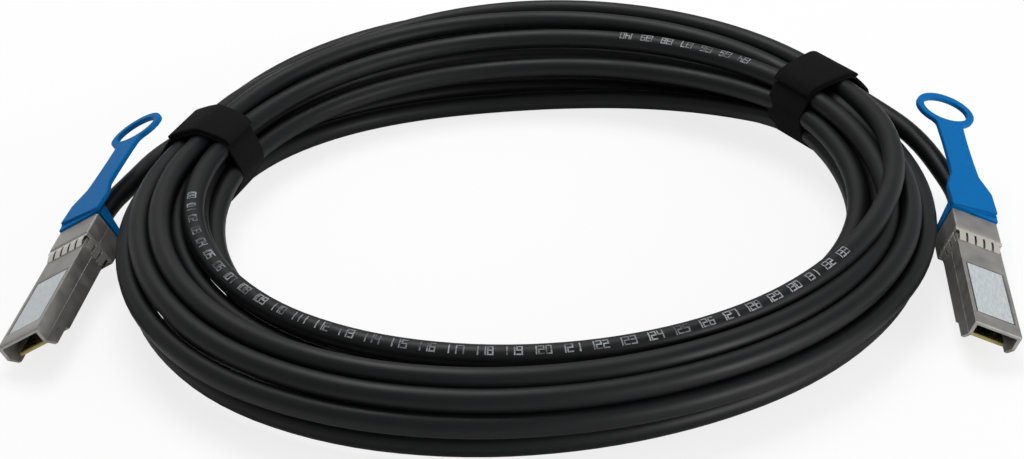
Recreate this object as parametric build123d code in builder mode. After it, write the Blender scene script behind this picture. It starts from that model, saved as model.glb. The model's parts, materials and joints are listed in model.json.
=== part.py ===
from build123d import *
import os
from math import cos, degrees, pi, radians, sin, tan

# A direct attach copper cable: one long black cable wound in a loose ring and tied twice, with
# a pluggable connector at each end. Millimetres. The floor is z = 0, +Z is up, the connectors
# point towards -Y, and the origin lies on the floor midway between the connectors and ties.

os.makedirs("parts", exist_ok=True)

# Cable and coil
jacket_d = 6.1
coil_x, coil_y = 2.4, 1.5
coil_radius = 102.5
coil_sides = 12
lay_steps = 3
tie_angle = {"left": 163.0, "right": 32.1}
tie_w, tie_t = 18.0, 1.1
tie_gap = 0.15
tail_start, tail_end = 38.0, 118.0

# The bundle of turns in each tie, and at angles round the coil behind and in front of the ties:
# its width, the heights of its underside and its top, and its middle's distance out from the radius
waist = {"left": (23.4, 1.6, 24.4, -2.7), "right": (23.6, 6.9, 29.7, 2.5)}
lay_behind = [
    (65.0, 33.0, 2.4, 30.4, 1.6),
    (97.0, 35.0, 0.6, 30.4, 0.0),
    (130.0, 30.6, 0.9, 28.2, -1.0),
]
lay_in_front = [
    (196.0, 30.8, 0.5, 25.5, 1.5),
    (229.0, 35.8, 0.0, 25.5, 5.6),
    (261.0, 31.4, 0.0, 25.4, 1.6),
    (294.0, 26.4, 0.0, 25.2, -2.8),
    (327.0, 25.4, 1.0, 27.6, -1.4),
    (360.0, 25.4, 3.0, 30.0, 1.2),
]

# Where each connector lies: the middle of its tip's lower edge, then its turn, slope and roll
left_side, left_y, left_z = 25.4, -69.3, 4.0
left_x = coil_x - coil_radius - left_side
left_turns = (-5.4, 1.7, -31.7)
right_side, right_y, right_z = 15.7, -64.1, 3.42
right_x = coil_x + coil_radius + right_side
right_turns = (-4.1, 1.3, 21.1)
ends = {
    "left": Location((left_x, left_y, left_z), left_turns, Intrinsic.ZXY),
    "right": Location((right_x, right_y, right_z), right_turns, Intrinsic.ZXY),
}
# Where each lead lies on its way into the coil: angle round it, distance out, and height
lead_route = {
    "left": [(172.1, 17.8, 10.0), (159.4, 17.0, 10.0), (140.0, 11.5, 10.5)],
    "right": [(7.8, 22.3, 11.5), (16.2, 17.9, 18.5), (24.0, 10.0, 23.0)],
}
tab_lift = {"left": 2.5, "right": 10.5}
tab_lean = {"left": -10.0, "right": 11.0}

# Connector body, in its own frame: x across, y from the tip to the cable, z up from its underside
body_w, body_h = 13.4, 8.5
wall = 1.0
split_z = 4.6
stop_y = 47.5
skirt_y, skirt_z = 10.4, 1.0
skirt_chamfer = 3.2
lip_edge = 0.35

# Head, outside the host's cage
head_step = 0.3
head_len = 10.0
head_low, head_high = 2.3, 1.2
head_wall = 1.2
head_fillet = 0.6
chamber_side = 2.35

# Label and its recess
label_y, label_l, label_side, label_t = 5.6, 25.2, 1.25, 0.12
label_gap, recess_depth, label_corner = 0.2, 0.25, 0.5

# Paddle card
card_gap, tongue_step, tongue_l = 0.1, 1.0, 8.8
card_y0, card_y1 = 3.2, 31.0
card_z, card_t = 2.25, 1.0
ledge_w, ledge_y0, ledge_y1 = 1.2, 14.0, 28.0
clamp_gap = 0.05
contact_n, contact_pitch, contact_w, contact_l, contact_t = 10, 0.8, 0.5, 3.0, 0.05
contact_inset = 0.7
chip_l, chip_w, chip_h, chip_y = 3.0, 2.0, 0.8, 17.0

# Spring collar
band_l, collar_t, collar_gap = 1.6, 0.25, 0.05
top_rise, side_rise = 0.55, 0.05
finger_n, finger_w, finger_pitch, finger_l, finger_bow = 5, 1.9, 2.6, 4.1, 0.3
side_finger_n = 3

# Latch
lever_w, lever_t, lever_z = 6.0, 1.0, 0.25
pivot_y, pivot_z, pivot_d, pivot_run = 37.5, 0.95, 1.0, 0.03
knuckle_r = 0.85
boss_w, boss_l, boss_drop, boss_y = 2.6, 2.6, 0.45, 45.0
pocket_gap, pocket_y0, pocket_roof, pan_t = 0.15, 36.3, 2.45, 0.6
latch_swing = 4.6
tab_travel = 2.0
slider_t, slider_gap = 0.8, 0.15
ramp_y, ramp_l, ramp_clear = 48.3, 2.1, 0.25
notch_l = 1.7
tail_clear = 0.1
floor_t = 0.75
pin_grip = 0.9

# Return springs and their ears
spring_d, spring_wire, spring_x, spring_z = 1.5, 0.3, 2.2, 0.25
spring_turns, spring_steps = 3, 12
ear_t, ear_y, ear_w, ear_h = 0.6, 51.6, 1.5, 1.6
seat_gap = 0.05

# Cable exit
cable_z = split_z
jacket_end = 51.6
grip = 0.05
crimp_y, crimp_l, crimp_t = 52.0, 3.7, 0.35
boot_wall, boot_tip_wall, boot_l = 1.5, 0.65, 9.0
boot_flange_wall, boot_flange_t, boot_neck_wall = 0.8, 0.3, 0.4
lead_out = 74.0
pair_w, pair_h, pair_x0, pair_side = 2.4, 1.3, 1.5, 1.95
pair_run_a, pair_run_b, pair_lift, pair_solder, pair_bend = 4.0, 7.0, 0.05, 2.0, 3.0
screw_in, screw_y, screw_d, screw_head_d, screw_head_t = 1.4, 53.6, 1.2, 2.0, 0.7
screw_gap = 0.3

# Pull tab
yoke_gap, yoke_t, yoke_side, yoke_in = 0.3, 0.8, 1.2, 1.05
yoke_high = 4.2
tab_rise, saddle_top, saddle_foot, saddle_drop = 0.6, 5.6, 2.6, 0.2
boot_room = 0.3
strap_t, strap_z, strap_root = 1.6, 9.5, 1.5
shoulder, taper, neck_w, neck_mid_w, ring_y = 9.5, 6.5, 9.0, 8.2, 45.0
ring_rx, ring_ry, ring_stroke = 9.4, 7.0, 2.2
neck_blend = 3.0

head_y = stop_y + head_len
head_top = body_h + head_high
head_w = body_w + 2 * head_step
inner_w = body_w - 2 * wall
chamber_w = head_w - 2 * chamber_side
label_w = body_w - 2 * label_side
card_w = inner_w - 2 * card_gap
tongue_w = card_w - 2 * tongue_step
screw_x = head_w / 2 - screw_in
jacket_r = jacket_d / 2 + grip
boot_r = jacket_r + boot_wall
boot_tip_r = jacket_r + boot_tip_wall
boot_flange_r = jacket_r + boot_flange_wall
boot_neck_r = jacket_r + boot_neck_wall
hole_r = boot_r + boot_room
yoke_w = 2 * (hole_r + yoke_side)
tab_w = yoke_w + 2 * yoke_in
pair_x1 = chamber_w / 2 - pair_side
slider_z = slider_gap + floor_t - head_low
slider_top = slider_z + slider_t
pocket_w = lever_w + 2 * pocket_gap
yoke_y = head_y + yoke_gap
ramp_slope = (ramp_y - pivot_y) * sin(radians(latch_swing)) / tab_travel
ramp_end = ramp_y + ramp_l


def across(y):
    """The plane square to the connector's length at y, with its own y upwards."""
    return Plane(origin=(0, y, 0), x_dir=(-1, 0, 0), z_dir=(0, 1, 0))


def ring_plane(angle):
    """The plane through the coil's axis at an angle, its own x away from the axis and y upwards."""
    out = (cos(radians(angle)), sin(radians(angle)), 0)
    spot = (coil_x + coil_radius * out[0], coil_y + coil_radius * out[1], 0)
    return Plane(origin=spot, x_dir=out, z_dir=(out[1], -out[0], 0))


def bundle(width, low, high, shift, grow=0, mode=Mode.ADD):
    """The flat-sided outline round the turns in a plane of the coil, grown all round by a margin."""
    corners = []
    for step in range(coil_sides):
        turn = (step + 0.5) * 2 * pi / coil_sides
        reach_x = (width / 2 + grow) / cos(pi / coil_sides)
        reach_y = ((high - low) / 2 + grow) / cos(pi / coil_sides)
        corners.append((shift + reach_x * cos(turn), (low + high) / 2 + reach_y * sin(turn)))
    Polygon(*corners, align=None, mode=mode)


pieces = {}

# Cast base shell: its side outline, then the trough, the latch pocket and the slider's channel
with BuildPart() as shell_base:
    with BuildSketch(Plane.YZ):
        with BuildLine():
            Polyline(
                (0, split_z),
                (0, skirt_z + skirt_chamfer),
                (skirt_chamfer, skirt_z),
                (skirt_y, skirt_z),
                (skirt_y + wall, 0),
                (stop_y, 0),
                (stop_y, split_z),
                close=True,
            )
        make_face()
    extrude(amount=body_w / 2, both=True)
    with BuildSketch(across(stop_y)):
        with Locations((0, (split_z - head_low) / 2)):
            Rectangle(head_w, split_z + head_low)
    extrude(amount=head_len)
    fillet(shell_base.edges().filter_by(Axis.Y).group_by(Axis.Z)[0], head_fillet)
    # trough for the card, open below behind the tip
    with BuildSketch(across(0)):
        with Locations((0, split_z / 2 + wall / 2)):
            Rectangle(inner_w, split_z - wall)
    extrude(amount=pocket_y0 - wall, mode=Mode.SUBTRACT)
    # wire trough above the latch pocket
    pan_z = pocket_roof + pan_t
    with BuildSketch(across(pocket_y0 - wall)):
        with Locations((0, (pan_z + split_z) / 2)):
            Rectangle(chamber_w, split_z - pan_z)
    extrude(amount=ear_y - pocket_y0 + wall, mode=Mode.SUBTRACT)
    # latch pocket, open downwards
    with BuildSketch(across(pocket_y0)):
        with Locations((0, pocket_roof / 2)):
            Rectangle(pocket_w, pocket_roof)
    extrude(amount=ear_y - pocket_y0, mode=Mode.SUBTRACT)
    # slider's channel through the head
    with BuildSketch(across(stop_y)):
        with Locations((0, slider_z + slider_t / 2)):
            Rectangle(pocket_w, slider_t + 2 * slider_gap)
    extrude(amount=head_len, mode=Mode.SUBTRACT)
    # room for the ramp below the lever's tail
    with BuildSketch(across(stop_y)):
        with Locations((0, slider_z / 2)):
            Rectangle(pocket_w, -slider_z)
    extrude(amount=ear_y - stop_y, mode=Mode.SUBTRACT)
    # chamber round the cable's end
    with BuildSketch(across(ear_y - slider_gap)):
        with Locations((0, (slider_top + split_z) / 2)):
            Rectangle(chamber_w, split_z - slider_top)
    extrude(amount=head_y - head_wall - ear_y + slider_gap, mode=Mode.SUBTRACT)
    # card ledges
    with BuildSketch(Plane.XY.offset(wall)):
        for side in (-1, 1):
            with Locations((side * (inner_w - ledge_w) / 2, (ledge_y0 + ledge_y1) / 2)):
                Rectangle(ledge_w, ledge_y1 - ledge_y0)
    extrude(amount=card_z - wall)
    # cable exit, pivot bore and screw holes
    with BuildSketch(across(head_y)):
        with Locations((0, cable_z)):
            Circle(boot_neck_r + grip)
    extrude(amount=-head_wall, mode=Mode.SUBTRACT)
    with BuildSketch(Plane.YZ):
        with Locations((pivot_y, pivot_z)):
            Circle(pivot_d / 2)
    extrude(amount=pocket_w / 2 + pin_grip, both=True, mode=Mode.SUBTRACT)
    with BuildSketch(Plane.XY.offset(-head_low)):
        with Locations((-screw_x, screw_y), (screw_x, screw_y)):
            Circle(screw_d / 2)
    extrude(amount=split_z + head_low, mode=Mode.SUBTRACT)
    with BuildSketch(Plane.XY.offset(-head_low)):
        with Locations((-screw_x, screw_y), (screw_x, screw_y)):
            Circle(screw_head_d / 2)
    extrude(amount=screw_head_t, mode=Mode.SUBTRACT)
pieces["shell_base"] = shell_base.part

# Cast top shell: its stepped side outline, the label's recess, and posts that hold the card down
with BuildPart() as shell_top:
    with BuildSketch(across(0)):
        with Locations((0, (split_z + body_h) / 2)):
            Rectangle(body_w, body_h - split_z)
    extrude(amount=stop_y)
    with BuildSketch(across(stop_y)):
        with Locations((0, (split_z + head_top) / 2)):
            Rectangle(head_w, head_top - split_z)
    extrude(amount=head_len)
    fillet(shell_top.edges().filter_by(Axis.Y).group_by(Axis.Z)[-1], head_fillet)
    chamfer(shell_top.edges().filter_by(Axis.X).group_by(Axis.Y)[0].sort_by(Axis.Z)[-1], lip_edge)
    with BuildSketch(across(0)):
        with Locations((0, (split_z + body_h - wall) / 2)):
            Rectangle(inner_w, body_h - wall - split_z)
    extrude(amount=stop_y - wall, mode=Mode.SUBTRACT)
    with BuildSketch(across(stop_y - wall)):
        with Locations((0, (split_z + body_h - wall) / 2)):
            Rectangle(chamber_w, body_h - wall - split_z)
    extrude(amount=head_len + wall - head_wall, mode=Mode.SUBTRACT)
    with BuildSketch(across(ear_y - slider_gap)):
        with Locations((0, (split_z + head_top - wall) / 2)):
            Rectangle(chamber_w, head_top - wall - split_z)
    extrude(amount=head_y - head_wall - ear_y + slider_gap, mode=Mode.SUBTRACT)
    with BuildSketch(Plane.XY.offset(body_h)):
        with Locations((0, label_y + label_l / 2)):
            Rectangle(label_w + 2 * label_gap, label_l + 2 * label_gap)
    extrude(amount=-recess_depth, mode=Mode.SUBTRACT)
    with BuildSketch(Plane.XY.offset(card_z + card_t + clamp_gap)):
        for side in (-1, 1):
            with Locations((side * (inner_w - ledge_w) / 2, (ledge_y0 + ledge_y1) / 2)):
                Rectangle(ledge_w, ledge_y1 - ledge_y0)
    extrude(amount=body_h - wall - card_z - card_t - clamp_gap)
    with BuildSketch(across(head_y)):
        with Locations((0, cable_z)):
            Circle(boot_neck_r + grip)
    extrude(amount=-head_wall, mode=Mode.SUBTRACT)
    with BuildSketch(Plane.XY.offset(split_z)):
        with Locations((-screw_x, screw_y), (screw_x, screw_y)):
            Circle(screw_d / 2)
    extrude(amount=head_top - wall - split_z, mode=Mode.SUBTRACT)
pieces["shell_top"] = shell_top.part

# Blank label, stuck in its recess
with BuildPart() as label:
    with BuildSketch(Plane.XY.offset(body_h - recess_depth)):
        with Locations((0, label_y + label_l / 2)):
            RectangleRounded(label_w, label_l, label_corner)
    extrude(amount=label_t)
pieces["label"] = label.part

# Paddle card: a narrow tongue for the host's socket, and a wider back between the ledges
with BuildPart() as paddle_card:
    with BuildSketch(Plane.XY.offset(card_z)):
        with Locations((0, card_y0 + tongue_l / 2)):
            Rectangle(tongue_w, tongue_l)
        with Locations((0, (card_y0 + tongue_l + card_y1) / 2)):
            Rectangle(card_w, card_y1 - card_y0 - tongue_l)
    extrude(amount=card_t)
    chamfer(paddle_card.edges().filter_by(Axis.X).group_by(Axis.Y)[0], card_t / 4)
pieces["paddle_card"] = paddle_card.part

# Gold contact pads, in one row on each face of the card
with BuildPart() as card_contacts:
    for face_z in (card_z - contact_t, card_z + card_t):
        with BuildSketch(Plane.XY.offset(face_z)):
            with Locations((0, card_y0 + contact_inset + contact_l / 2)):
                with GridLocations(contact_pitch, 1, contact_n, 1):
                    Rectangle(contact_w, contact_l)
        extrude(amount=contact_t)
pieces["card_contacts"] = card_contacts.part

with BuildPart() as memory_chip:
    with BuildSketch(Plane.XY.offset(card_z + card_t)):
        with Locations((0, chip_y)):
            Rectangle(chip_w, chip_l)
    extrude(amount=chip_h)
    chamfer(memory_chip.faces().sort_by(Axis.Z)[-1].edges(), chip_h / 8)
pieces["memory_chip"] = memory_chip.part

# Two foil-wrapped wire pairs, from the cable's end down to the back of the card
for pair_name, side in (("tx_pair", -1), ("rx_pair", 1)):
    pair_z = card_z + card_t + pair_h / 2
    with BuildPart() as wire_pair:
        with BuildLine() as pair_run:
            FilletPolyline(
                (side * pair_x0, jacket_end, cable_z),
                (side * pair_x0, jacket_end - pair_run_a, cable_z),
                (side * pair_x1, card_y1 + pair_run_b, pair_z + pair_lift),
                (side * pair_x1, card_y1 - pair_solder, pair_z),
                radius=pair_bend,
            )
        with BuildSketch(Plane(origin=pair_run.line @ 0, x_dir=(1, 0, 0), z_dir=pair_run.line % 0)) as foil:
            Rectangle(pair_w, pair_h)
            chamfer(foil.vertices(), pair_h / 4)
        sweep()
    pieces[pair_name] = wire_pair.part

# Spring collar: a folded sheet-metal band before the head, with fingers that lean on the body
collar = []
for rise in (top_rise, side_rise):
    crown = rise + collar_gap + collar_t
    band_y = stop_y - band_l / 2
    with BuildPart() as finger:
        with BuildSketch(Plane.YZ):
            with BuildLine():
                foot_y = stop_y - band_l - finger_l
                top_mid = (crown + collar_t + collar_gap) / 2 + finger_bow
                ThreePointArc(
                    (band_y, crown), ((band_y + foot_y) / 2, top_mid), (foot_y, collar_t + collar_gap)
                )
                Line((foot_y, collar_t + collar_gap), (foot_y, collar_gap))
                ThreePointArc(
                    (foot_y, collar_gap),
                    ((band_y + foot_y) / 2, top_mid - collar_t),
                    (band_y, crown - collar_t),
                )
                Line((band_y, crown - collar_t), (band_y, crown))
            make_face()
        extrude(amount=finger_w / 2, both=True)
    collar.append(finger.part)
with BuildPart() as emi_collar:
    band_hole_w = body_w + 2 * (side_rise + collar_gap)
    band_hole_h = body_h + 2 * (top_rise + collar_gap)
    with BuildSketch(across(stop_y - band_l)):
        with Locations((0, body_h / 2)):
            Rectangle(band_hole_w + 2 * collar_t, band_hole_h + 2 * collar_t)
            Rectangle(band_hole_w, band_hole_h, mode=Mode.SUBTRACT)
    extrude(amount=band_l)
    for step in range(finger_n):
        spot_x = (step - (finger_n - 1) / 2) * finger_pitch
        with Locations(Location((spot_x, 0, body_h))):
            add(collar[0])
        if abs(spot_x) - finger_w / 2 > pocket_w / 2:
            with Locations(Location((spot_x, 0, 0), (0, 180, 0))):
                add(collar[0])
    for step in range(side_finger_n):
        spot_z = body_h / 2 + (step - (side_finger_n - 1) / 2) * finger_pitch
        with Locations(
            Location((body_w / 2, 0, spot_z), (0, 90, 0)), Location((-body_w / 2, 0, spot_z), (0, -90, 0))
        ):
            add(collar[1])
pieces["emi_collar"] = emi_collar.part

# Latch lever: a knuckle round the pin, a boss for the cage, and a hooked tail above the ramp
hook_end = ramp_end + tail_clear
with BuildPart() as latch_lever:
    with BuildSketch(Plane.YZ):
        with BuildLine():
            Polyline(
                (pivot_y, lever_z),
                (ramp_y - notch_l, lever_z),
                (ramp_y - notch_l, slider_top + ramp_clear + ramp_l * ramp_slope),
                (ramp_y, slider_top + ramp_clear + ramp_l * ramp_slope),
                (hook_end, slider_top + ramp_clear - tail_clear * ramp_slope),
                (hook_end, lever_z + lever_t),
                (pivot_y, lever_z + lever_t),
                close=True,
            )
        make_face()
        with Locations((pivot_y, pivot_z)):
            Circle(knuckle_r)
    extrude(amount=lever_w / 2, both=True)
    with BuildSketch(Plane.YZ):
        with BuildLine():
            Polyline(
                (boss_y - boss_l, lever_z),
                (boss_y - boss_l / 3, -boss_drop),
                (boss_y, -boss_drop),
                (boss_y, lever_z + lever_t / 2),
                (boss_y - boss_l, lever_z + lever_t / 2),
                close=True,
            )
        make_face()
    extrude(amount=boss_w / 2, both=True)
    with BuildSketch(Plane.YZ):
        with Locations((pivot_y, pivot_z)):
            Circle(pivot_d / 2 + pivot_run)
    extrude(amount=lever_w, both=True, mode=Mode.SUBTRACT)
pieces["latch_lever"] = latch_lever.part

with BuildPart() as pivot_pin:
    with BuildSketch(Plane.YZ):
        with Locations((pivot_y, pivot_z)):
            Circle(pivot_d / 2)
    extrude(amount=pocket_w / 2 + pin_grip, both=True)
pieces["pivot_pin"] = pivot_pin.part

# Latch slider: a ramp and a tongue in the base, two spring ears, and a yoke behind the head
with BuildPart() as latch_slider:
    with BuildSketch(Plane.YZ):
        with BuildLine():
            Polyline(
                (ramp_y, slider_z),
                (yoke_y, slider_z),
                (yoke_y, slider_top),
                (ramp_end, slider_top),
                (ramp_y, slider_top + ramp_l * ramp_slope),
                close=True,
            )
        make_face()
    extrude(amount=lever_w / 2, both=True)
    with BuildSketch(across(yoke_y)):
        with Locations((0, (slider_z + cable_z + yoke_high) / 2)):
            Rectangle(yoke_w, cable_z + yoke_high - slider_z)
        with Locations((0, cable_z)):
            Circle(hole_r, mode=Mode.SUBTRACT)
    extrude(amount=yoke_t)
    with BuildSketch(across(ear_y)):
        with Locations((-spring_x, slider_top + ear_h / 2), (spring_x, slider_top + ear_h / 2)):
            Rectangle(ear_w, ear_h)
    extrude(amount=ear_t)
pieces["latch_slider"] = latch_slider.part

# Return springs, between the slider's ears and the head's back wall
spring_y0 = ear_y + ear_t + seat_gap + spring_wire / 2
spring_l = head_y - head_wall - seat_gap - spring_wire / 2 - spring_y0
with BuildPart() as return_springs:
    for side in (-1, 1):
        coils = []
        for step in range(spring_turns * spring_steps + 1):
            turn = 2 * pi * step / spring_steps
            reach = (spring_d - spring_wire) / 2
            rise = spring_l * step / (spring_turns * spring_steps)
            coils.append(
                (side * spring_x + reach * cos(turn), spring_y0 + rise, spring_z + reach * sin(turn))
            )
        with BuildLine():
            winding = Polyline(*coils)
        with BuildSketch(Plane(origin=winding @ 0, z_dir=winding % 0)):
            Rectangle(spring_wire, spring_wire)
        sweep(path=winding, transition=Transition.RIGHT)
pieces["return_springs"] = return_springs.part

# Hexagonal crimp ring round the jacket's end
cable_axis = Axis((0, 0, cable_z), (0, 1, 0))
with BuildPart() as crimp_ring:
    with BuildSketch(across(crimp_y)):
        with Locations((0, cable_z)):
            RegularPolygon(jacket_r + crimp_t, 6, major_radius=False, rotation=30)
            Circle(jacket_r, mode=Mode.SUBTRACT)
    extrude(amount=crimp_l)
pieces["crimp_ring"] = crimp_ring.part

# Rubber boot: held in the head's back wall by its flange, grooved outside
flange_y = head_y - head_wall
with BuildPart() as cable_boot:
    with BuildSketch(Plane.YZ):
        with BuildLine():
            Polyline(
                (flange_y - boot_flange_t, cable_z + jacket_r),
                (flange_y - boot_flange_t, cable_z + boot_flange_r),
                (flange_y, cable_z + boot_flange_r),
                (flange_y, cable_z + boot_neck_r),
                (head_y, cable_z + boot_neck_r),
                (head_y, cable_z + boot_r),
                (yoke_y + saddle_top, cable_z + boot_r),
                (head_y + boot_l, cable_z + boot_tip_r),
                (head_y + boot_l, cable_z + jacket_r),
                close=True,
            )
        make_face()
    revolve(axis=cable_axis)
pieces["cable_boot"] = cable_boot.part

with BuildPart() as cover_screws:
    for base_z, reach, radius in (
        (-head_low, screw_head_t, screw_head_d / 2),
        (screw_head_t - head_low, head_top - wall - screw_gap + head_low - screw_head_t, screw_d / 2),
    ):
        with BuildSketch(Plane.XY.offset(base_z)):
            with Locations((-screw_x, screw_y), (screw_x, screw_y)):
                Circle(radius)
        extrude(amount=reach)
pieces["cover_screws"] = cover_screws.part

# Every piece of a connector is placed at both ends of the cable, and each end has its own tab
for end, spot in ends.items():
    # Pull tab: a saddle moulded over the yoke, a necked strap and a ring for a finger
    tab_low, tab_high = saddle_drop - head_low, head_top + tab_rise
    strap_plane = Plane(Location((0, yoke_y, strap_z), (tab_lift[end], 0, tab_lean[end])))
    with BuildPart() as pull_tab:
        with BuildSketch(Plane.YZ):
            with BuildLine():
                Polyline(
                    (yoke_y, tab_low),
                    (yoke_y + saddle_foot, tab_low),
                    (yoke_y + saddle_top, tab_high),
                    (yoke_y, tab_high),
                    close=True,
                )
            make_face()
        extrude(amount=tab_w / 2, both=True)
        with BuildSketch(strap_plane) as strap:
            with BuildLine():
                for side in (-1, 1):
                    ring_root = ring_y - ring_ry / 2
                    neck_y = shoulder + taper
                    Line((0, strap_root), (side * tab_w / 2, strap_root))
                    Line((side * tab_w / 2, strap_root), (side * tab_w / 2, shoulder))
                    Line((side * tab_w / 2, shoulder), (side * neck_w / 2, neck_y))
                    ThreePointArc(
                        (side * neck_w / 2, neck_y),
                        (side * neck_mid_w / 2, (neck_y + ring_root) / 2),
                        (side * neck_w / 2, ring_root),
                    )
                    Line((side * neck_w / 2, ring_root), (0, ring_root))
            make_face()
            with Locations((0, ring_y)):
                Ellipse(ring_rx, ring_ry)
            inner_corners = strap.vertices().filter_by_position(Axis.Y, ring_y - ring_ry, ring_y)
            fillet(inner_corners, neck_blend)
            with Locations((0, ring_y)):
                Ellipse(ring_rx - ring_stroke, ring_ry - ring_stroke, mode=Mode.SUBTRACT)
        extrude(amount=strap_t)
        with BuildSketch(across(yoke_y)):
            with Locations((0, (slider_z + cable_z + yoke_high) / 2)):
                Rectangle(yoke_w, cable_z + yoke_high - slider_z)
        extrude(amount=yoke_t, mode=Mode.SUBTRACT)
        with BuildSketch(across(yoke_y)):
            with Locations((0, cable_z)):
                Circle(hole_r)
        extrude(amount=saddle_top * 2, mode=Mode.SUBTRACT)
    placed = {**pieces, "pull_tab": pull_tab.part}
    for name, piece in placed.items():
        node = piece.moved(spot)
        node.label = f"{name}_{end}"
        export_step(node, f"parts/{name}_{end}.step")

# The coil's outer shape: the turns lie loosely in it, and each tie draws them together
coil_axis = Axis((coil_x, coil_y, 0), (0, 0, 1))
waist_turn = degrees(tie_w / coil_radius)
left_waist, right_waist = tie_angle["left"], tie_angle["right"]
behind = [
    (right_waist + waist_turn / 2, *waist["right"]),
    *lay_behind,
    (left_waist - waist_turn / 2, *waist["left"]),
]
in_front = [
    (left_waist + waist_turn / 2, *waist["left"]),
    *lay_in_front,
    (right_waist + 360 - waist_turn / 2, *waist["right"]),
]
with BuildPart() as cable_coil:
    for end, angle in tie_angle.items():
        with BuildSketch(ring_plane(angle - waist_turn / 2)):
            bundle(*waist[end])
        revolve(axis=coil_axis, revolution_arc=waist_turn)
    for lay in (behind, in_front):
        for first, after in zip(lay, lay[1:]):
            for step in range(lay_steps + 1):
                share = step / lay_steps
                angle, *shape = (start + share * (stop - start) for start, stop in zip(first, after))
                with BuildSketch(ring_plane(angle)):
                    bundle(*shape)
            loft(ruled=True)
cable_coil.part.label = "cable_coil"
export_step(cable_coil.part, "parts/cable_coil.step")

# Hook-and-loop ties: a strap round the drawn-in bundle, its tail lying over itself on top
tail_from, tail_to = radians(tail_start), radians(tail_end)
for end, angle in tie_angle.items():
    width, low, high, shift = waist[end]
    middle = (low + high) / 2
    with BuildPart() as tie:
        with BuildSketch(ring_plane(angle - waist_turn / 2)):
            with BuildSketch(mode=Mode.PRIVATE) as wedge:
                with BuildLine():
                    Polyline(
                        (shift, middle),
                        (shift + width * cos(tail_from), middle + width * sin(tail_from)),
                        (shift, middle + width),
                        (shift + width * cos(tail_to), middle + width * sin(tail_to)),
                        close=True,
                    )
                make_face()
            bundle(*waist[end], tie_gap + 2 * tie_t)
            add(wedge.sketch, mode=Mode.INTERSECT)
            bundle(*waist[end], tie_gap + tie_t)
            bundle(*waist[end], tie_gap, Mode.SUBTRACT)
        revolve(axis=coil_axis, revolution_arc=waist_turn)
    tie.part.label = f"tie_{end}"
    export_step(tie.part, f"parts/tie_{end}.step")

# Leads: from the crimp, through the boot, and along the coil's outside until they lie in it.
for end, spot in ends.items():
    route = [Plane(spot).from_local_coords(Vector(0, y, cable_z)) for y in (jacket_end, lead_out)]
    for angle, out, height in lead_route[end]:
        route.append(ring_plane(angle).from_local_coords(Vector(out, height, 0)))
    runs = [after - point for point, after in zip(route, route[1:])]
    radii = []
    for run, after in zip(runs, runs[1:]):
        half_turn = radians(run.get_angle(after)) / 2
        radii.append(0.45 * min(run.length, after.length) / tan(half_turn))
    print(f"lead_{end} radii", [round(radius, 1) for radius in radii])
    with BuildPart() as lead:
        with BuildLine():
            lead_run = FilletPolyline(*route, radius=radii)
        with BuildSketch(Plane(origin=route[0], z_dir=runs[0])):
            Circle(jacket_d / 2)
        sweep()
    print(f"lead_{end} volume share", lead.part.volume / (lead_run.length * pi * jacket_d**2 / 4))
    lead.part.label = f"lead_{end}"
    export_step(lead.part, f"parts/lead_{end}.step")
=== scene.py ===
import json
from math import atan, cos, pi, radians, sin

import bmesh
import bpy
import numpy as np
from mathutils import Matrix, Vector


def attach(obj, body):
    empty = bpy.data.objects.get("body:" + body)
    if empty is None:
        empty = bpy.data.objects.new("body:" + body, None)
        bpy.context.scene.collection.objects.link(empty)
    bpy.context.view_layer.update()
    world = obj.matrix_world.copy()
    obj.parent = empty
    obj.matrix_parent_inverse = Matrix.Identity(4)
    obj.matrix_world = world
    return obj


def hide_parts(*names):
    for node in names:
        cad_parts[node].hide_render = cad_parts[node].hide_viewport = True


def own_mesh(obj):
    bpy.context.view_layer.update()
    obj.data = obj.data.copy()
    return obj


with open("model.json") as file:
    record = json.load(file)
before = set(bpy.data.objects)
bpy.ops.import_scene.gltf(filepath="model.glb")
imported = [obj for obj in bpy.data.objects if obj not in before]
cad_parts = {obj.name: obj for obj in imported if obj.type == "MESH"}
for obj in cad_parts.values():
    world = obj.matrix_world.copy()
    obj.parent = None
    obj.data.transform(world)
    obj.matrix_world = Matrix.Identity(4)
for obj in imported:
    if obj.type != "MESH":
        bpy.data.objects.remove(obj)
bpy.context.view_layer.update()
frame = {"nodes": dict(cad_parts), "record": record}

nodes = frame["nodes"]
mm = 0.001

# Camera: the photograph's view, from the front and 28 degrees above the floor. It looks at the
# middle of the coil, and is then turned a little so that this point falls at its place in the frame.
frame_w, frame_h = 1024, 459
focal_px = 1985.0
aim = Vector((3.4, 2.5, 13.5)) * mm
aim_px = (534.0, 200.5)
elevation = radians(28.0)
distance = 572.0 * mm
sensor = 36.0
camera_data = bpy.data.cameras.new("photo_camera")
camera_data.sensor_width = sensor
camera_data.lens = sensor * focal_px / frame_w
camera_data.clip_start = 0.01
camera = bpy.data.objects.new("photo_camera", camera_data)
turn = Matrix.Rotation(pi / 2 - elevation, 4, "X")
turn @= Matrix.Rotation(atan((aim_px[0] - frame_w / 2) / focal_px), 4, "Y")
turn @= Matrix.Rotation(atan((aim_px[1] - frame_h / 2) / focal_px), 4, "X")
stand = aim + distance * Vector((0.0, -cos(elevation), sin(elevation)))
camera.matrix_world = Matrix.Translation(stand) @ turn
bpy.context.scene.collection.objects.link(camera)
bpy.context.scene.camera = camera


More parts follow.
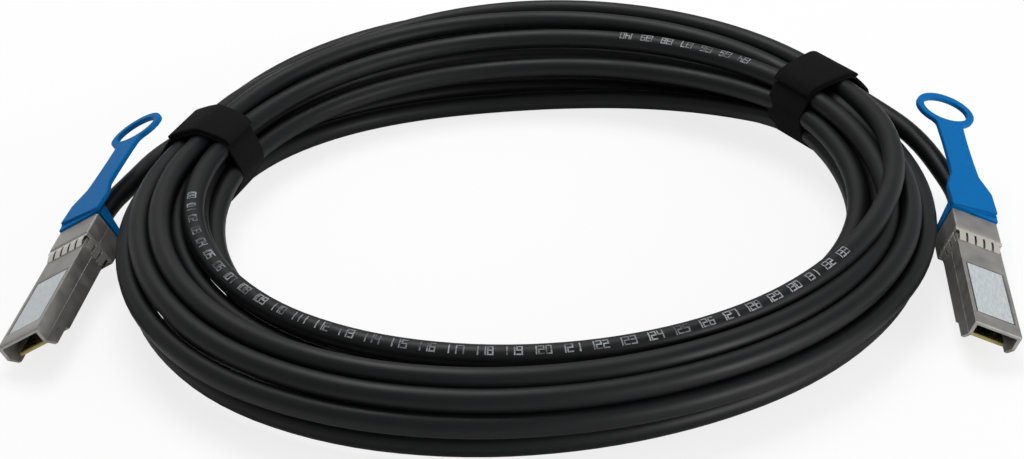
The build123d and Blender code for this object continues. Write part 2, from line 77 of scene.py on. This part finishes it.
# Cable: one copper pair cable in a black extruded jacket, from the left connector, ten times
# and a bit round the coil, to the right connector. It is wound by hand, so the turns lie loosely
# beside and on each other, and only the two ties draw them together.
def linear(colour):
    """An sRGB hex colour as the linear RGBA that Blender's sockets hold."""
    share = np.array([int(colour[k : k + 2], 16) for k in (1, 3, 5)]) / 255
    low, high = share / 12.92, ((share + 0.055) / 1.055) ** 2.4
    return (*np.where(share <= 0.04045, low, high).tolist(), 1.0)


def node(tree, kind, settings=(), **links):
    """Adds a shader node: settings are its properties or socket values, links its inputs."""
    new = tree.nodes.new(kind)
    for name, value in dict(settings).items():
        if isinstance(name, int) or name in new.inputs:
            new.inputs[name].default_value = value
        else:
            setattr(new, name, value)
    for name, source in links.items():
        socket = new.inputs[int(name[1:]) if name[0] == "_" else name]
        tree.links.new(source, socket)
    return new


def material(name, colour, roughness, metallic=0.0, **more):
    """A Principled material, and its tree and shader, for the section that adds its pattern."""
    made = bpy.data.materials.new(name)
    made.use_nodes = True
    shader = made.node_tree.nodes["Principled BSDF"]
    shader.inputs["Base Color"].default_value = linear(colour)
    shader.inputs["Roughness"].default_value = roughness
    shader.inputs["Metallic"].default_value = metallic
    for name, value in more.items():
        shader.inputs[name.replace("_", " ")].default_value = value
    return made, made.node_tree, shader


jacket_d = 6.1
coil_x, coil_y, coil_r = 2.4, 1.5, 102.5
stations = 22
first_angle = 163.0
# The first turn comes in from the lead behind the left tie, and the last leaves at the right one
step = np.arange(2, 229)
# How far round from the left tie each listed place is, as a share of a turn: the left tie,
# the back, the right tie, the right side, the front, the left side
places = np.array([0.0, 0.19, 0.364, 0.51, 0.703, 0.904])
# Where each turn lies in the bundle there: its angle round the bundle's middle, 0 outwards and
# 90 up, and its distance as a share of the ring of outer turns
lay_angle = [
    [-20, -38, -45, -42, -58, -31],
    [-60, -72, -78, -80, -110, -68],
    [-100, -105, -113, -120, -99, -123],
    [-138, -136, -150, -160, -168, -175],
    [-178, -182, -190, -200, -203, -212],
    [-200, -200, -200, -200, -210, -230],
    [-250, -303, -310, -250, -242, -230],
    [-215, -223, -232, -278, -298, -285],
    [-255, -262, -272, -318, -328, -304],
    [-298, -352, -372, -362, -348, -347],
    [-342, -325, -337, -337, -337, -337],
]
lay_reach = np.ones((11, 6))
lay_reach[3, 1], lay_reach[4, 1] = 1.7, 1.2
lay_reach[5] = [0.3, 0.3, 0.3, 0.3, 0.3, 0.6]
lay_reach[6] = [0.45, 1.3, 1.0, 1.1, 1.0, 1.0]
# The ring of outer turns on its way round: the share of a turn from the left tie, then the
# ring's half-width, half-height, middle's height and middle's shift outwards
ring = np.array([
    [0.000, 8.7, 8.3, 13.0, -2.6],
    [0.100, 12.8, 11.5, 14.6, 0.6],
    [0.190, 15.6, 13.2, 15.8, 0.4],
    [0.250, 15.4, 13.2, 16.2, 3.4],
    [0.305, 14.0, 12.6, 16.4, 3.2],
    [0.364, 8.7, 8.5, 18.8, 2.6],
    [0.480, 10.8, 9.8, 13.4, 2.0],
    [0.575, 9.2, 9.2, 12.5, -4.4],
    [0.645, 8.7, 8.9, 12.2, -8.2],
    [0.703, 10.6, 10.0, 13.2, -3.0],
    [0.754, 15.6, 10.0, 13.2, 6.6],
    [0.814, 19.6, 9.6, 12.8, 13.0],
    [0.904, 12.2, 10.0, 13.2, 1.4],
    [1.000, 8.7, 8.3, 13.0, -2.6],
])
tie_station = {"left": 0, "right": 8}
# The turns settle in this many rounds. Each round pushes a share of every overlap apart, evens a
# share of every bend out and draws a share of the way back to the laid place. The jacket stays
# floor_room mm clear of the floor, and a turn's distance from itself counts as out of reach.
settle_rounds, push_apart, even_out, draw_back = 160, 0.35, 0.08, 0.03
floor_room, out_of_reach = 0.05, 99.0


def eased(places, values, at):
    """Values at places, carried between them along a cosine-like curve, flat at each place."""
    values = np.asarray(values, float)
    k = np.clip(np.searchsorted(places, at, side="right") - 1, 0, len(places) - 2)
    share = np.clip((at - places[k]) / (places[k + 1] - places[k]), 0.0, 1.0)
    share = (share * share * (3 - 2 * share)).reshape(-1, *[1] * (values.ndim - 1))
    return values[k] * (1 - share) + values[k + 1] * share


def coil_lay():
    """Angle, distance outwards and height of the coil's control points, in radians and mm.

    Each point starts at its turn's place in the bundle: ring middle + ring size x reach x
    (cos, sin) of its lay angle. Then the turns settle: wherever two of them are nearer than a
    diameter they push each other apart, each one's stiffness evens out its own line, the ties
    hold them inside the ring there, and the floor holds them up.
    """
    along = step / stations
    marks = (np.arange(len(lay_angle))[:, None] + places).ravel()
    angle = np.radians(eased(marks, np.ravel(lay_angle), along))
    reach = eased(marks, np.ravel(lay_reach), along)
    wide, high, middle, shift = eased(ring[:, 0], ring[:, 1:], along % 1.0).T
    centre, size = np.stack([shift, middle], 1), np.stack([wide, high], 1)
    laid = centre + size * reach[:, None] * np.stack([np.cos(angle), np.sin(angle)], 1)
    spot = laid.copy()
    for _ in range(settle_rounds):
        shove = np.zeros_like(spot)
        for station in range(stations):
            here = np.flatnonzero(step % stations == station)
            apart = spot[here][:, None] - spot[here][None]
            gap = np.linalg.norm(apart, axis=2) + out_of_reach * np.eye(len(here))
            overlap = np.clip(jacket_d - gap, 0, None) / gap
            shove[here] = push_apart * (apart * overlap[..., None]).sum(1)
        spot += shove
        spot[1:-1] += even_out * (spot[2:] + spot[:-2] - 2 * spot[1:-1])
        spot += draw_back * (laid - spot)
        for station in tie_station.values():
            here = np.flatnonzero(step % stations == station)
            middle_at, size_at = centre[here], size[here]
            out = (spot[here] - middle_at) / size_at
            far = np.linalg.norm(out, axis=1, keepdims=True)
            spot[here] = middle_at + size_at * out / np.maximum(far, 1.0)
        spot[:, 1] = np.maximum(spot[:, 1], jacket_d / 2 + floor_room)
    return np.radians(first_angle - 360.0 * along), spot


def round_coil(angle, out, height):
    """Points in mm at angles round the coil, distances out from its radius, and heights."""
    reach_r = coil_r + np.asarray(out)
    return np.stack([coil_x + reach_r * np.cos(angle), coil_y + reach_r * np.sin(angle), height], 1)


left_lead = round_coil(np.radians([172.1, 159.4, 140.0]), [17.8, 17.0, 11.5], [10.0, 10.0, 10.5])
right_lead = round_coil(np.radians([24.0, 16.2, 7.8]), [10.0, 17.9, 22.3], [23.0, 18.5, 11.5])
left_exit = [(-123.06, -17.84, 9.44), (-120.96, 4.45, 10.11)]
right_exit = [(127.53, 9.48, 9.39), (125.93, -12.86, 8.88)]
coil_angle, coil_spot = coil_lay()
coil_points = round_coil(coil_angle, *coil_spot.T)
route = np.concatenate([left_exit, left_lead, coil_points, right_lead, right_exit]) * mm
cable_curve = bpy.data.curves.new("cable", "CURVE")
cable_curve.dimensions = "3D"
spline = cable_curve.splines.new("NURBS")
spline.points.add(len(route) - 1)
spline.points.foreach_set("co", np.column_stack([route, np.ones(len(route))]).ravel())
spline.order_u = 3
spline.use_endpoint_u = True
cable_curve.resolution_u = 6
cable_curve.bevel_depth = jacket_d / 2 * mm
cable_curve.bevel_resolution = 6
cable_curve.use_fill_caps = True
cable = bpy.data.objects.new("cable", cable_curve)
bpy.context.scene.collection.objects.link(cable)

# Extruded PVC: near-black, satin, with a very fine matt drag and a few broad soft scuffs
jacket, tree, shader = material("extruded_pvc", "#0D0E10", 0.45, Specular_IOR_Level=0.22)
where = node(tree, "ShaderNodeTexCoord").outputs["Object"]
drag = node(tree, "ShaderNodeTexNoise", {"Scale": 900.0, "Detail": 3.0}, Vector=where)
scuff = node(tree, "ShaderNodeTexNoise", {"Scale": 35.0, "Detail": 4.0}, Vector=where)
satin = node(
    tree, "ShaderNodeMapRange", {"From Min": 0.3, "From Max": 0.7, "To Min": 0.4, "To Max": 0.56},
    Value=scuff.outputs["Fac"],
)
tree.links.new(satin.outputs["Result"], shader.inputs["Roughness"])
skin = node(tree, "ShaderNodeBump", {"Strength": 0.25, "Distance": 0.00003}, Height=drag.outputs["Fac"])
tree.links.new(skin.outputs["Normal"], shader.inputs["Normal"])
cable_curve.materials.append(jacket)
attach(cable, "cable")
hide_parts("cable_coil", "lead_left", "lead_right")

# Length marks: a count in pale ink, jet-printed along the jacket's line that faces up and forward.
# They show on the stretches below, and elsewhere they are rubbed off or face the other turns.
plain_curve = cable_curve.copy()
plain_curve.bevel_depth = 0
plain_curve.use_fill_caps = False
plain = bpy.data.objects.new("plain", plain_curve)
bpy.context.scene.collection.objects.link(plain)
run_mesh = bpy.data.meshes.new_from_object(plain)
bpy.data.objects.remove(plain)
run = np.empty(len(run_mesh.vertices) * 3)
run_mesh.vertices.foreach_get("co", run)
run = run.reshape(-1, 3) / mm
way = np.concatenate([[0.0], np.cumsum(np.linalg.norm(np.diff(run, axis=0), axis=1))])
heading = np.gradient(run, way, axis=0)
bearing = np.degrees(np.arctan2(run[:, 1] - coil_y, run[:, 0] - coil_x)) % 360
turn_at = (first_angle - np.unwrap(bearing, period=360)) / 360
# First and last turn of each marked stretch, counted from the left tie
marked = [(6.54, 6.93), (7.25, 7.33)]
digit_w, digit_h, digit_pitch, count_pitch, stroke = 1.2, 2.2, 1.8, 7.0, 0.36
# Each digit's strokes: a, d and g lie across at its top, foot and middle, b and c stand on its
# right, e and f on its left
strokes = ("abcdef", "bc", "abged", "abgcd", "fgbc", "afgcd", "afgedc", "abc", "abcdefg", "abcdfg")
half_w, half_h = digit_w / 2, digit_h / 2
spans = {
    "a": (-half_w, half_h, half_w, half_h), "b": (half_w, 0, half_w, half_h),
    "c": (half_w, -half_h, half_w, 0), "d": (-half_w, -half_h, half_w, -half_h),
    "e": (-half_w, -half_h, -half_w, 0), "f": (-half_w, 0, -half_w, half_h),
    "g": (-half_w, 0, half_w, 0),
}
inked = []
count = 100
for first, last in marked:
    for start in np.arange(np.interp(last, turn_at, way), np.interp(first, turn_at, way), -count_pitch):
        for place, digit in enumerate(str(count)):
            across = place * digit_pitch
            for span in strokes[int(digit)]:
                x1, y1, x2, y2 = spans[span]
                thick = stroke / 2
                inked.append([start, across + x1 - thick, y1 - thick, across + x2 + thick, y2 + thick])
        count += 1
start, x1, y1, x2, y2 = np.array(inked).T
# Corners of every stroke, wrapped on the jacket: along the line by x, and round it by y / radius
x, y = np.stack([x1, x2, x2, x1], 1), np.stack([y1, y1, y2, y2], 1)
at = start[:, None] - x
spot = np.stack([np.interp(at, way, axis) for axis in run.T], 2)
reading = -np.stack([np.interp(at, way, axis) for axis in heading.T], 2)
reading /= np.linalg.norm(reading, axis=2, keepdims=True)
facing = np.array([0.0, -0.45, 0.9])
facing = facing - (reading @ facing)[..., None] * reading
facing /= np.linalg.norm(facing, axis=2, keepdims=True)
ink_r = jacket_d / 2 + 0.09
bend = (y / ink_r)[..., None]
spot += ink_r * (facing * np.cos(bend) + np.cross(facing, reading) * np.sin(bend))
marks_mesh = bpy.data.meshes.new("length_marks")
quads = np.arange(spot.size // 3).reshape(-1, 4).tolist()
marks_mesh.from_pydata((spot.reshape(-1, 3) * mm).tolist(), [], quads)
marks = bpy.data.objects.new("length_marks", marks_mesh)
bpy.context.scene.collection.objects.link(marks)
ink, tree, shader = material("jet_printed_ink", "#8C9093", 0.8, Specular_IOR_Level=0.2)
where = node(tree, "ShaderNodeTexCoord").outputs["Object"]
worn = node(tree, "ShaderNodeTexNoise", {"Scale": 260.0, "Detail": 4.0}, Vector=where)
fading = node(
    tree, "ShaderNodeMapRange", {"From Min": 0.35, "From Max": 0.6}, Value=worn.outputs["Fac"]
)
faded = node(
    tree, "ShaderNodeMix", {"data_type": "RGBA", 6: linear("#4A4C4E"), 7: linear("#9A9EA1")},
    _0=fading.outputs["Result"],
)
tree.links.new(faded.outputs[2], shader.inputs["Base Color"])
marks_mesh.materials.append(ink)
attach(marks, "cable")

# Ties: two hook-and-loop straps, woven black nylon, pulled tight round all the turns, so they
# run straight between the outermost ones. Each strap's tail lies over itself on top.
def taut(centres, radius, count):
    """Path and normals of a strap pulled tight round circles.

    In each direction its distance from the middle is the farthest that any circle reaches,
    and the point there is normal x distance + tangent x the distance's rate of change.
    """
    turned = np.linspace(0, 2 * pi, count, endpoint=False)
    normal = np.stack([np.cos(turned), np.sin(turned)], 1)
    tangent = np.stack([-np.sin(turned), np.cos(turned)], 1)
    far = (centres @ normal.T).max(0) + radius
    for _ in range(2):
        far = (np.roll(far, 1) + 2 * far + np.roll(far, -1)) / 4
    rate = (np.roll(far, -1) - np.roll(far, 1)) * count / (4 * pi)
    return far[:, None] * normal + rate[:, None] * tangent, normal


def grid_mesh(name, points, around, along):
    """A mesh object of a grid of points, rows x columns x 3, closed around its rows or columns."""
    rows, columns = points.shape[:2]
    i = np.arange(rows if around else rows - 1)
    j = np.arange(columns if along else columns - 1)
    i, j = [k.ravel() for k in np.meshgrid(i, j, indexing="ij")]
    after_i, after_j = (i + 1) % rows, (j + 1) % columns
    corners = [i * columns + j, after_i * columns + j, after_i * columns + after_j, i * columns + after_j]
    faces = np.stack(corners, 1).tolist()
    if not around:
        faces += [list(range(columns))[::-1], [(rows - 1) * columns + k for k in range(columns)]]
    mesh = bpy.data.meshes.new(name)
    mesh.from_pydata(points.reshape(-1, 3).tolist(), [], faces)
    shape = bmesh.new()
    shape.from_mesh(mesh)
    bmesh.ops.recalc_face_normals(shape, faces=shape.faces)
    shape.to_mesh(mesh)
    shape.free()
    mesh.polygons.foreach_set("use_smooth", np.ones(len(mesh.polygons), bool))
    made = bpy.data.objects.new(name, mesh)
    bpy.context.scene.collection.objects.link(made)
    return made


tie_w, tie_t = 18.0, 1.1
tail_from, tail_to = 50.0, 150.0
edge_r = 0.45
strap_points = 120
point_deg = 360 / strap_points
# Nylon pile: black, matt, with the loops as a fine even grain
nylon, tree, shader = material("woven_nylon_loop", "#0B0B0C", 0.85, Specular_IOR_Level=0.1)
where = node(tree, "ShaderNodeTexCoord").outputs["Object"]
pile = node(tree, "ShaderNodeTexVoronoi", {"Scale": 2600.0}, Vector=where)
loops = node(
    tree, "ShaderNodeBump", {"Strength": 0.6, "Distance": 0.0002}, Height=pile.outputs["Distance"]
)
tree.links.new(loops.outputs["Normal"], shader.inputs["Normal"])
corner = np.radians(np.arange(0, 91, 30))
rim = edge_r * np.stack([np.cos(corner), np.sin(corner)], 1)
strap_edge = np.concatenate([
    rim + [tie_w / 2 - edge_r, tie_t - edge_r],
    (rim * [-1, 1])[::-1] + [edge_r - tie_w / 2, tie_t - edge_r],
    rim * [-1, -1] + [edge_r - tie_w / 2, edge_r],
    (rim * [1, -1])[::-1] + [tie_w / 2 - edge_r, edge_r],
])
line = np.concatenate([coil_spot[:1], coil_spot, coil_spot[-1:]])
line = (line[:-2] + 6 * line[1:-1] + line[2:]) / 8
for side, station in tie_station.items():
    turns = line[step % stations == station]
    path, normal = taut(turns - turns.mean(0), jacket_d / 2, strap_points)
    path += turns.mean(0)
    for layer, first, last in (("wrap", 0, 360), ("tail", tail_from, tail_to)):
        whole = layer == "wrap"
        pick = np.arange(round(first / point_deg), round(last / point_deg)) % strap_points
        lift = 0.0 if whole else tie_t
        section = path[pick][:, None] + normal[pick][:, None] * (strap_edge[None, :, 1:] + lift)
        swing = radians(first_angle - 360 * station / stations) + strap_edge[None, :, 0] / coil_r
        out = coil_r + section[..., 0]
        points = np.stack(
            [coil_x + out * np.cos(swing), coil_y + out * np.sin(swing), section[..., 1]], 2
        )
        strap = grid_mesh(f"tie_{layer}_{side}", points * mm, whole, True)
        strap.data.materials.append(nylon)
        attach(strap, "cable")
        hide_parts(f"tie_{side}")

# Shells: the connector's body, two zinc die castings with satin nickel plating, screwed together
# from below. Casting leaves a faint orange-peel grain, and plating a soft, slightly warm grey with
# cloudy gloss; the parting lines and all edges are a little rounded.
weld_dist = 0.002 * mm
flat_deg, sharp_deg, crease_deg = 0.2, 25, 20


def softened(name, edge, *surfaces):
    """A CAD node's copy that stands in for it, its sharp edges rounded off by a radius in mm."""
    mesh = nodes[name].data.copy()
    shape = bmesh.new()
    shape.from_mesh(mesh)
    bmesh.ops.remove_doubles(shape, verts=shape.verts, dist=weld_dist)
    bmesh.ops.dissolve_limit(shape, angle_limit=radians(flat_deg), verts=shape.verts, edges=shape.edges)
    sharp = [line for line in shape.edges if line.calc_face_angle(0.0) > radians(sharp_deg)]
    if edge:
        bmesh.ops.bevel(
            shape, geom=sharp, offset=edge * mm, segments=2, profile=0.5, affect="EDGES",
            clamp_overlap=False,
        )
    shape.to_mesh(mesh)
    shape.free()
    mesh.polygons.foreach_set("use_smooth", np.ones(len(mesh.polygons), bool))
    mesh.set_sharp_from_angle(angle=radians(crease_deg))
    mesh.materials.clear()
    for surface in surfaces:
        mesh.materials.append(surface)
    made = bpy.data.objects.new(f"{name}_finished", mesh)
    bpy.context.scene.collection.objects.link(made)
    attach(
        made, next(body for body, held in frame["record"]["behaviour"]["bodies"].items() if name in held)
    )
    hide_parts(name)
    return made


def grain(tree, shader, size, depth, gloss, tint=None):
    """Surface grain of a finish: bumps of a size and depth in mm, and gloss that varies in clouds
    ten grains wide between two roughnesses, and with it the colour between the base and a tint."""
    where = node(tree, "ShaderNodeTexCoord").outputs["Object"]
    fine = node(tree, "ShaderNodeTexNoise", {"Scale": 1 / (size * mm), "Detail": 3.0}, Vector=where)
    cloud = node(tree, "ShaderNodeTexNoise", {"Scale": 0.1 / (size * mm), "Detail": 4.0}, Vector=where)
    uneven = node(
        tree, "ShaderNodeMapRange",
        {"From Min": 0.3, "From Max": 0.7, "To Min": gloss[0], "To Max": gloss[1]},
        Value=cloud.outputs["Fac"],
    )
    tree.links.new(uneven.outputs["Result"], shader.inputs["Roughness"])
    bump = node(
        tree, "ShaderNodeBump", {"Strength": 0.5, "Distance": depth * mm}, Height=fine.outputs["Fac"]
    )
    tree.links.new(bump.outputs["Normal"], shader.inputs["Normal"])
    if tint:
        base = tuple(shader.inputs["Base Color"].default_value)
        mixed = node(
            tree, "ShaderNodeMix", {"data_type": "RGBA", 6: base, 7: linear(tint)}, _0=cloud.outputs["Fac"]
        )
        tree.links.new(mixed.outputs[2], shader.inputs["Base Color"])


sides = ("left", "right")
nickel, tree, shader = material("satin_nickel_on_cast_zinc", "#7E7D7B", 0.4, 0.72)
grain(tree, shader, 0.4, 0.05, (0.3, 0.5), "#B2AFA9")
for side in sides:
    softened(f"shell_top_{side}", 0.12, nickel)
    softened(f"shell_base_{side}", 0.12, nickel)
    softened(f"latch_lever_{side}", 0.08, nickel)

# Label: a blank silver-white polyester film, glued in the top shell's recess. A dark band of painted
# shade runs just inside its die-cut edge, for the recess rim's shadow, and its satin varnish is rubbed in
# faint rows along it.
def lay_out(mesh):
    """Gives a flat mesh a UV map in mm from its middle, u along its longest side and v across it,
    and returns its normal: the axes are the singular vectors of its corners."""
    spots = np.empty(len(mesh.vertices) * 3)
    mesh.vertices.foreach_get("co", spots)
    spots = spots.reshape(-1, 3) / mm
    middle = (spots.max(0) + spots.min(0)) / 2
    axes = np.linalg.svd(spots - spots.mean(0), full_matrices=False)[2]
    corners = np.empty(len(mesh.loops), int)
    mesh.loops.foreach_get("vertex_index", corners)
    flat = (spots - middle) @ axes[:2].T
    mesh.uv_layers.new(name="flat").data.foreach_set("uv", flat[corners].ravel())
    return axes[2]


label_half_l, label_half_w, painted_shade_in = 12.6, 5.45, 0.3
film, tree, shader = material("varnished_polyester_film", "#B4BBBF", 0.4, Coat_Weight=0.2)
place = node(tree, "ShaderNodeUVMap", {"uv_map": "flat"}).outputs["UV"]
rows = node(tree, "ShaderNodeMapping", {"Scale": (0.35, 1.6, 1.0)}, Vector=place)
rub = node(
    tree, "ShaderNodeTexNoise", {"Scale": 1.0, "Detail": 5.0, "Roughness": 0.65},
    Vector=rows.outputs[0],
)
rubbed = node(
    tree, "ShaderNodeMapRange", {"From Min": 0.35, "From Max": 0.65}, Value=rub.outputs["Fac"]
)
faint = node(
    tree, "ShaderNodeMix", {"data_type": "RGBA", 6: linear("#A3A9AD"), 7: linear("#BDC4C7")},
    _0=rubbed.outputs["Result"],
)
# Painted shade: a dark band 0.3 mm wide just inside the label's edge stands in for the shadow of the recess
# rim
far_in = node(tree, "ShaderNodeVectorMath", {"operation": "ABSOLUTE"}, _0=place)
margin = node(tree, "ShaderNodeSeparateXYZ", {}, _0=far_in.outputs[0])
past_end = node(
    tree, "ShaderNodeMath", {"operation": "GREATER_THAN", 1: label_half_l - painted_shade_in},
    _0=margin.outputs[0],
)
past_side = node(
    tree, "ShaderNodeMath", {"operation": "GREATER_THAN", 1: label_half_w - painted_shade_in},
    _0=margin.outputs[1],
)
painted_shade_mask = node(
    tree, "ShaderNodeMath", {"operation": "MAXIMUM"}, _0=past_end.outputs[0], _1=past_side.outputs[0]
)
painted_shade_mix = node(
    tree, "ShaderNodeMix", {"data_type": "RGBA", 7: linear("#2A2B2C")},
    _0=painted_shade_mask.outputs[0], _6=faint.outputs[2],
)
tree.links.new(painted_shade_mix.outputs[2], shader.inputs["Base Color"])
for side in sides:
    lay_out(softened(f"label_{side}", 0, film).data)

# Card: a glass laminate board with green solder mask, gold-plated contact pads at its tongue and a
# moulded epoxy memory chip. Its routed edges are bare laminate, pale and dry; the mask is glossy.
mask, tree, shader = material("green_solder_mask", "#0D3B22", 0.3, Coat_Weight=0.3)
grain(tree, shader, 0.4, 0.006, (0.24, 0.36), "#14492B")
laminate, tree, shader = material("routed_glass_laminate", "#B3A568", 0.7)
grain(tree, shader, 0.1, 0.01, (0.6, 0.8), "#9A9050")
for side in sides:
    card = softened(f"paddle_card_{side}", 0, mask, laminate).data
    thick = lay_out(card)
    facing = np.array([face.normal for face in card.polygons]) @ thick
    card.polygons.foreach_set("material_index", (np.abs(facing) < 0.9).astype(int))
gold, tree, shader = material("gold_plating", "#E3B25C", 0.22, 1.0)
grain(tree, shader, 0.15, 0.004, (0.16, 0.3), "#D8A24A")
epoxy, tree, shader = material("moulded_epoxy", "#1A1A1B", 0.6)
grain(tree, shader, 0.08, 0.01, (0.5, 0.68))

# Spring collar: stamped from thin spring steel and tin plated, wrapped round the shells before the
# head. Its fingers bow outwards and are the brightest metal on the connector.
tin, tree, shader = material("bright_tin_on_spring_steel", "#E8E5DE", 0.22, 0.75)
grain(tree, shader, 0.25, 0.006, (0.16, 0.3), "#D5D0C6")

# Latch slider, pin, springs and screws: stainless steel, stamped, ground or drawn, left bare. The
# slider shows rolled sheet's fine even grain.
steel, tree, shader = material("bare_stainless_steel", "#A9A7A3", 0.32, 1.0)
grain(tree, shader, 0.2, 0.008, (0.26, 0.42), "#96948F")
for side in sides:
    softened(f"latch_slider_{side}", 0.1, steel)
    # The two springs press against the head's back wall as the tab pulls the slider; here their end farthest
    # along the pull is only worked out, and they get a mesh of their own
    springs = softened(f"return_springs_{side}", 0, steel)
    pull = next(row for row in frame["record"]["behaviour"]["joints"] if row["name"] == f"tab_pull_{side}")
    ends = np.array([corner.co for corner in springs.data.vertices])
    along = ends @ np.array(pull["axis"])
    tuple(ends[along.argmax()].tolist())
    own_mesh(springs)

# Cable end: a tinned brass crimp ring on the jacket, two foil-wrapped copper pairs that run on to
# the card, and a black rubber boot that closes the head and eases the cable's bend.
tinned_brass, tree, shader = material("tinned_brass", "#B9AE93", 0.3, 1.0)
grain(tree, shader, 0.2, 0.006, (0.24, 0.4), "#A2946F")
foil, tree, shader = material("aluminium_foil_wrap", "#C9CBCE", 0.3, 1.0)
grain(tree, shader, 0.6, 0.05, (0.22, 0.42), "#B4B6BA")
rubber, tree, shader = material("moulded_rubber", "#101011", 0.62, Specular_IOR_Level=0.2)
grain(tree, shader, 0.12, 0.01, (0.55, 0.72), "#1E1E20")
for side in sides:
    softened(f"cable_boot_{side}", 0.2, rubber)

# Pull tabs: blue thermoplastic elastomer, moulded over the slider's yoke in one piece with a flat
# strap and a ring for a finger. The tool's eroded surface leaves a fine matt grain, with soft,
# wide highlights and rounded edges.
elastomer, tree, shader = material("moulded_elastomer", "#005A96", 0.5, Specular_IOR_Level=0.08)
grain(tree, shader, 0.18, 0.012, (0.42, 0.6), "#0067A8")
for side in sides:
    softened(f"pull_tab_{side}", 0.35, elastomer)

# The small nodes keep their CAD shape and get these finishes
finish = {
    "card_contacts": gold, "memory_chip": epoxy, "emi_collar": tin, "pivot_pin": steel,
    "cover_screws": steel, "crimp_ring": tinned_brass,
    "tx_pair": foil, "rx_pair": foil,
}
for kind, surface in finish.items():
    for side in sides:
        mesh = nodes[f"{kind}_{side}"].data
        mesh.materials.clear()
        mesh.materials.append(surface)

# Floor and light: a plain white table under a large soft box, with a second, lower one from the
# right. The camera sees the room as white, metal mirrors a softer grey, and the table keeps the
# object's shadow.
floor_half = 3.0
floor_corners = [(x * floor_half, y * floor_half, 0) for x, y in ((-1, -1), (1, -1), (1, 1), (-1, 1))]
floor_mesh = bpy.data.meshes.new("floor")
floor_mesh.from_pydata(floor_corners, [], [(0, 1, 2, 3)])
floor = bpy.data.objects.new("floor", floor_mesh)
bpy.context.scene.collection.objects.link(floor)
paper, tree, shader = material("white_paper", "#F4F4F4", 0.9)
seen = node(tree, "ShaderNodeLightPath")
share = node(tree, "ShaderNodeMath", {"operation": "MULTIPLY", 1: 0.8}, _0=seen.outputs["Is Camera Ray"])
glow = node(tree, "ShaderNodeEmission", {"Color": linear("#FFFFFF"), "Strength": 1.0})
blend = node(tree, "ShaderNodeMixShader", {}, _0=share.outputs[0], _1=shader.outputs[0], _2=glow.outputs[0])
tree.links.new(blend.outputs[0], tree.nodes["Material Output"].inputs["Surface"])
floor_mesh.materials.append(paper)


def soft_box(name, spot, size, watts):
    """A square area light at spot, in metres, that faces the origin."""
    lamp = bpy.data.lights.new(name, "AREA")
    lamp.size = size
    lamp.energy = watts
    box = bpy.data.objects.new(name, lamp)
    box.location = spot
    box.rotation_euler = (-Vector(spot)).to_track_quat("-Z", "Y").to_euler()
    bpy.context.scene.collection.objects.link(box)


soft_box("key_box", (-0.12, 0.32, 0.9), 0.6, 6.4)
soft_box("right_box", (0.9, -0.55, 0.24), 0.5, 7.0)
world = bpy.data.worlds.new("studio")
bpy.context.scene.world = world
world.use_nodes = True
tree = world.node_tree
sky = tree.nodes["Background"]
sky.inputs["Color"].default_value = linear("#FFFFFF")
seen = node(tree, "ShaderNodeLightPath")
mirrored = node(
    tree, "ShaderNodeMapRange", {"To Min": 0.36, "To Max": 0.46}, Value=seen.outputs["Is Glossy Ray"]
)
strength = node(
    tree, "ShaderNodeMath", {"operation": "MAXIMUM"}, _0=seen.outputs["Is Camera Ray"], _1=mirrored.outputs[0]
)
tree.links.new(strength.outputs[0], sky.inputs["Strength"])
bpy.context.scene.view_settings.view_transform = "Standard"
